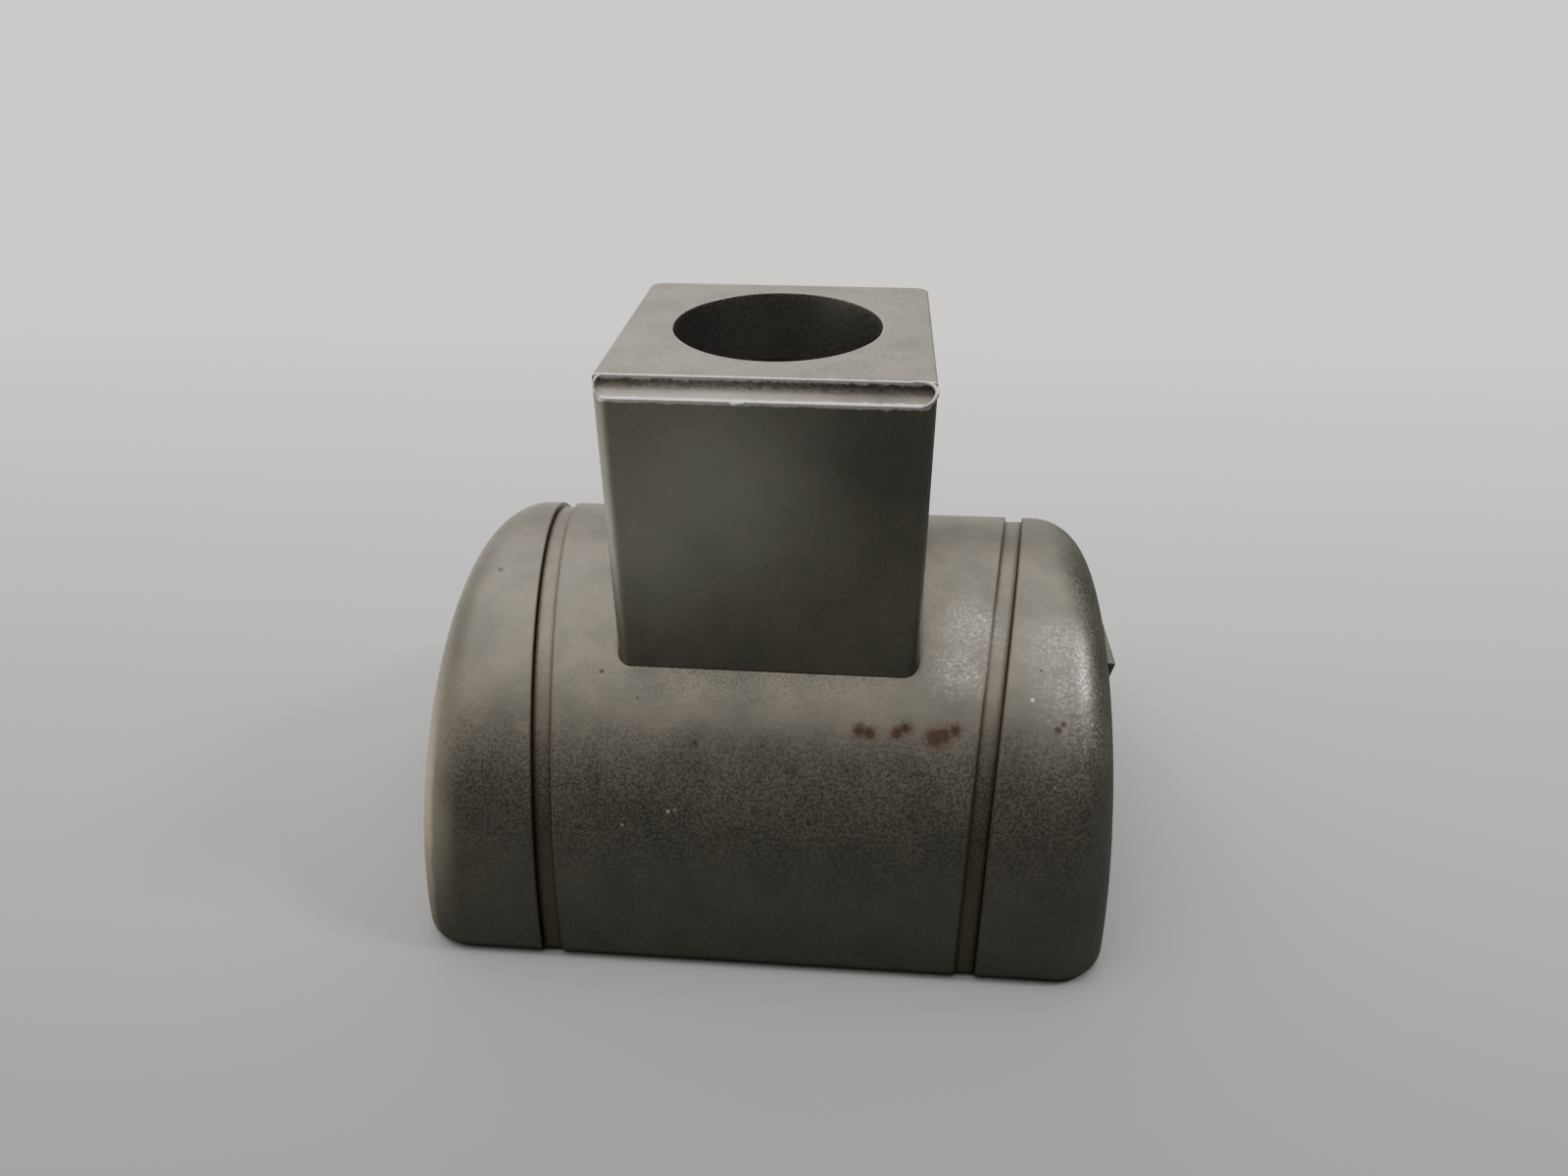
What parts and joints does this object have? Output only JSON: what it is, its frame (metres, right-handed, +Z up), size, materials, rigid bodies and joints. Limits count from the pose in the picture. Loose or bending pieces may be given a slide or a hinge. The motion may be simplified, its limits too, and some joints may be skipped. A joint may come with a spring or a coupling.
{
  "type": "saddle tee fitting",
  "caption": "Half-round cast stainless saddle tee: a square branch with a round bore on a half-round run with rounded end collars and a half-round channel under it.",
  "frame": {"origin": "the middle of the run axis, in the plane of the base", "axes": "+X along the run towards the end with the locating key, +Z up the branch, -Y the front with the cove"},
  "size_m": [0.0522, 0.0472, 0.042],
  "materials": {
    "cast_stainless": "blasted investment casting, warm grey, fine grain"
  },
  "bodies": {
    "root": {"branch_post": "cast_stainless", "left_end_collar": "cast_stainless", "locating_key": "cast_stainless", "right_end_collar": "cast_stainless", "run_barrel": "cast_stainless"}
  },
  "joints": []
}
